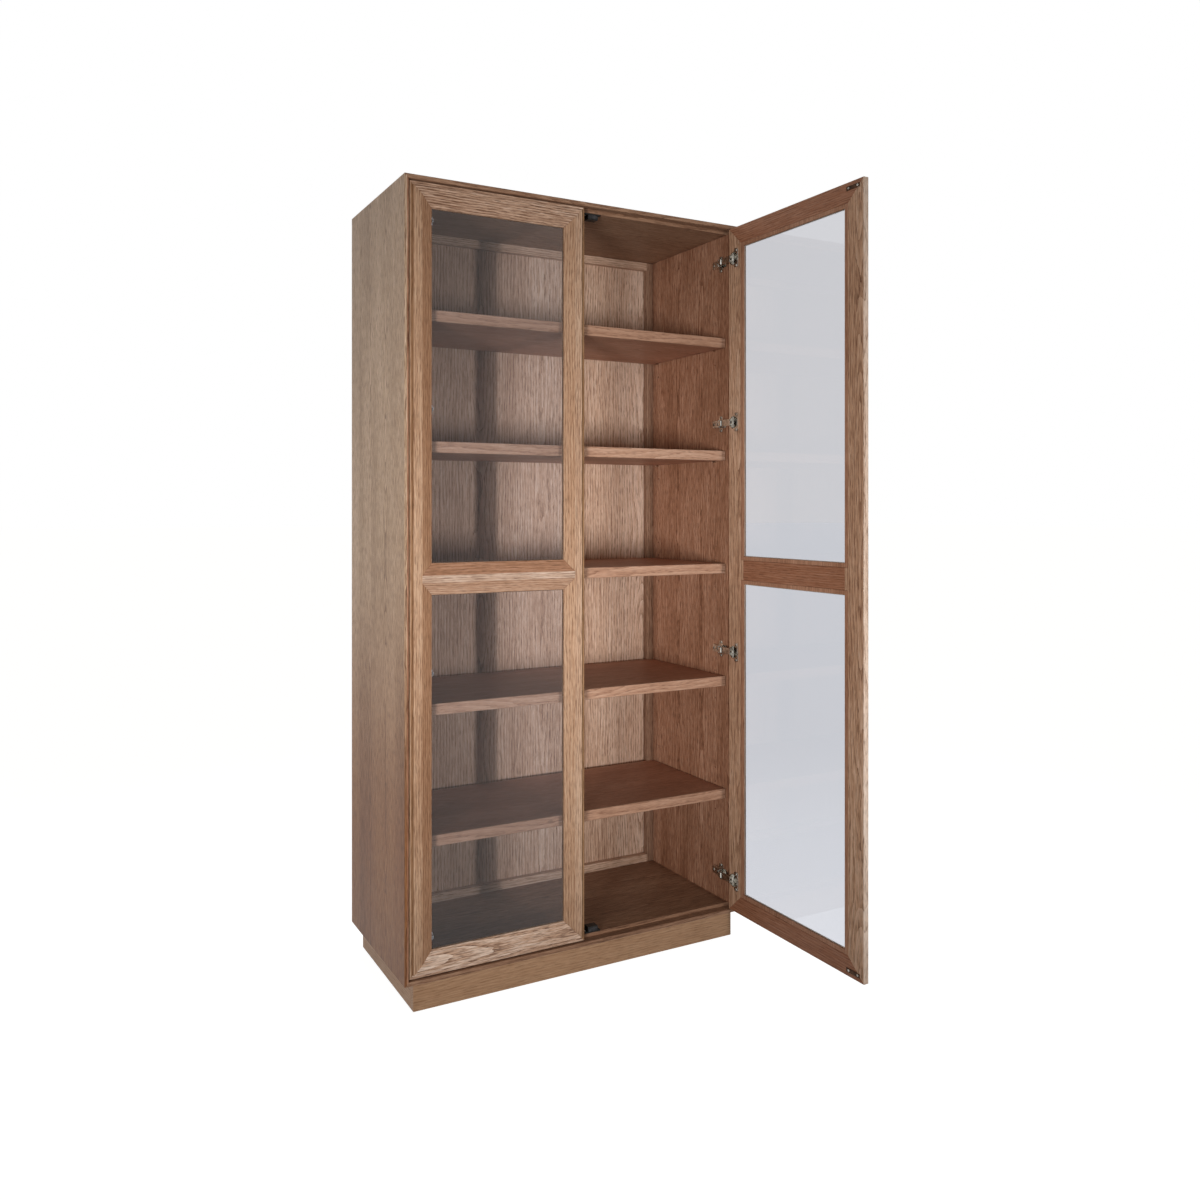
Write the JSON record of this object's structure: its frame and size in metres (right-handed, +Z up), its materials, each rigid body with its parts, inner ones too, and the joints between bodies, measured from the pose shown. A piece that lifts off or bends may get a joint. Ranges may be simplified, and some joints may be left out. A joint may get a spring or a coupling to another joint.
{
  "type": "bookcase with glass doors",
  "caption": "Tall oak bookcase with inset glazed doors in mitred bevelled frames on concealed hinges, shelves on pins, magnetic catches and a recessed plinth.",
  "frame": {"origin": "on the floor under the middle of the case", "axes": "+X to the right, +Y to the back, +Z up, seen from the front"},
  "size_m": [1.004, 0.901, 2],
  "materials": {
    "oak_case": "satin stained oak",
    "oak_door": "satin stained oak",
    "oak_shelf": "satin stained oak",
    "glass": "clear float glass",
    "nickel": "nickel plated",
    "strike_bronze": "dark bronzed steel",
    "catch_black": "matt black",
    "magnet": "dull ferrite"
  },
  "bodies": {
    "case": {"side_panel_left": "oak_case", "side_panel_right": "oak_case", "top_panel": "oak_case", "bottom_panel": "oak_case", "back_panel": "oak_case", "back_batten_left": "oak_case", "back_batten_right": "oak_case", "back_batten_top": "oak_case", "back_batten_bottom": "oak_case", "plinth_front": "oak_case", "plinth_back": "oak_case", "plinth_left": "oak_case", "plinth_right": "oak_case", "plinth_brace": "oak_case", "shelf_1": "oak_shelf", "shelf_2": "oak_shelf", "shelf_3": "oak_shelf", "shelf_4": "oak_shelf", "shelf_5": "oak_shelf", "shelf_pins": "nickel", "hinge_plates_left": "nickel", "hinge_arms_left": "nickel", "hinge_plates_right": "nickel", "hinge_arms_right": "nickel", "catch_cases": "catch_black", "catch_magnets": "magnet"},
    "door_left": {"left_door_hinge_stile": "oak_door", "left_door_meeting_stile": "oak_door", "left_door_top_rail": "oak_door", "left_door_mid_rail": "oak_door", "left_door_bottom_rail": "oak_door", "left_door_upper_bead": "oak_door", "left_door_lower_bead": "oak_door", "left_door_upper_glass": "glass", "left_door_lower_glass": "glass", "left_door_hinge_cups": "nickel", "left_door_strike_plates": "strike_bronze"},
    "door_right": {"right_door_hinge_stile": "oak_door", "right_door_meeting_stile": "oak_door", "right_door_top_rail": "oak_door", "right_door_mid_rail": "oak_door", "right_door_bottom_rail": "oak_door", "right_door_upper_bead": "oak_door", "right_door_lower_bead": "oak_door", "right_door_upper_glass": "glass", "right_door_lower_glass": "glass", "right_door_hinge_cups": "nickel", "right_door_strike_plates": "strike_bronze"},
    "hinge_links_left": {"hinge_links_left": "nickel"},
    "hinge_links_right": {"hinge_links_right": "nickel"}
  },
  "joints": [
    {"name": "door_left_swing", "type": "hinge", "parent": "case", "child": "door_left", "pos_m": [-0.489, -0.207, 1.0325], "axis": [0, 0, -1], "range_deg": [0, 95]},
    {"name": "door_right_swing", "type": "hinge", "parent": "case", "child": "door_right", "pos_m": [0.489, -0.207, 1.0325], "axis": [0, 0, 1], "range_deg": [-90, 5]},
    {"name": "hinge_links_left_turn", "type": "hinge", "parent": "case", "child": "hinge_links_left", "pos_m": [-0.461, -0.179, 1.0325], "axis": [0, 0, -1], "range_deg": [0, 95]},
    {"name": "hinge_links_right_turn", "type": "hinge", "parent": "case", "child": "hinge_links_right", "pos_m": [0.461, -0.179, 1.0325], "axis": [0, 0, 1], "range_deg": [-90, 5]}
  ],
  "couplings": [
    {"joint": "hinge_links_left_turn", "follows": "door_left_swing", "ratio": 1},
    {"joint": "hinge_links_right_turn", "follows": "door_right_swing", "ratio": 1}
  ]
}
